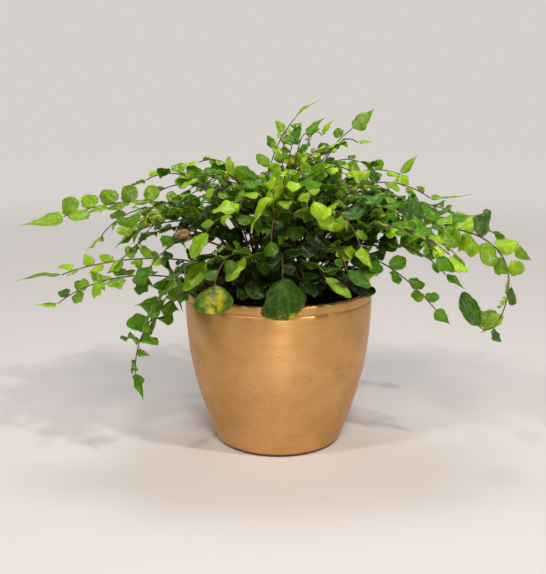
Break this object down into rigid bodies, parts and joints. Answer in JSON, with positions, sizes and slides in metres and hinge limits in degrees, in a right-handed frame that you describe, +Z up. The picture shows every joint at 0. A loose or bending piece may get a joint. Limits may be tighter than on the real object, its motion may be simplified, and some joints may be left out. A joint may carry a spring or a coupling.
{
  "type": "potted fern",
  "caption": "Living button fern with arching wiry fronds of small round leaflets, standing in soil in a satin gold tapered round pot.",
  "frame": {"origin": "middle of the pot's flat underside, on the surface that it stands on", "axes": "+Z up; -Y towards the side that the picture shows; +X to that side's right, along the widest spread of the fronds"},
  "size_m": [0.3873, 0.268, 0.2562],
  "materials": {
    "pot": "satin metallic gold glaze",
    "soil": "rough, dark potting soil",
    "frond_light": "satin leaf, yellow-green",
    "frond_dark": "satin leaf, deep green"
  },
  "bodies": {
    "root": {"pot": "pot", "soil": "soil", "frond_left_long": "frond_light", "frond_left_mid": "frond_light", "frond_left_low": "frond_light", "frond_left_droop": "frond_dark", "frond_left_front": "frond_dark", "frond_left_upper": "frond_light", "frond_left_crown": "frond_light", "frond_left_inner": "frond_dark", "frond_top_high": "frond_light", "frond_top_second": "frond_dark", "frond_top_right": "frond_light", "frond_right_upper": "frond_light", "frond_right_high": "frond_light", "frond_right_mid": "frond_dark", "frond_right_arch": "frond_light", "frond_right_far": "frond_light", "frond_right_low": "frond_dark", "frond_right_under": "frond_dark", "frond_right_front": "frond_light", "frond_front_left": "frond_light", "frond_front_mid": "frond_dark", "frond_front_right": "frond_dark", "frond_crown_left": "frond_light", "frond_crown_front": "frond_dark", "frond_crown_high": "frond_light", "frond_crown_right": "frond_light", "frond_back_long_1": "frond_light", "frond_back_long_2": "frond_dark", "frond_back_long_3": "frond_light", "frond_back_long_4": "frond_dark", "frond_back_long_5": "frond_light", "frond_back_long_6": "frond_dark", "frond_back_long_7": "frond_light", "frond_back_mid_1": "frond_dark", "frond_back_mid_2": "frond_light", "frond_back_mid_3": "frond_dark", "frond_back_mid_4": "frond_light", "frond_back_mid_5": "frond_dark", "frond_back_mid_6": "frond_light", "frond_middle_1": "frond_light", "frond_middle_2": "frond_dark", "frond_middle_3": "frond_light", "frond_middle_4": "frond_dark", "frond_low_1": "frond_dark", "frond_low_2": "frond_dark", "frond_low_3": "frond_dark", "frond_low_4": "frond_dark", "frond_low_5": "frond_dark", "frond_low_6": "frond_dark", "frond_low_7": "frond_dark", "frond_low_8": "frond_dark", "frond_low_9": "frond_dark"}
  },
  "joints": []
}
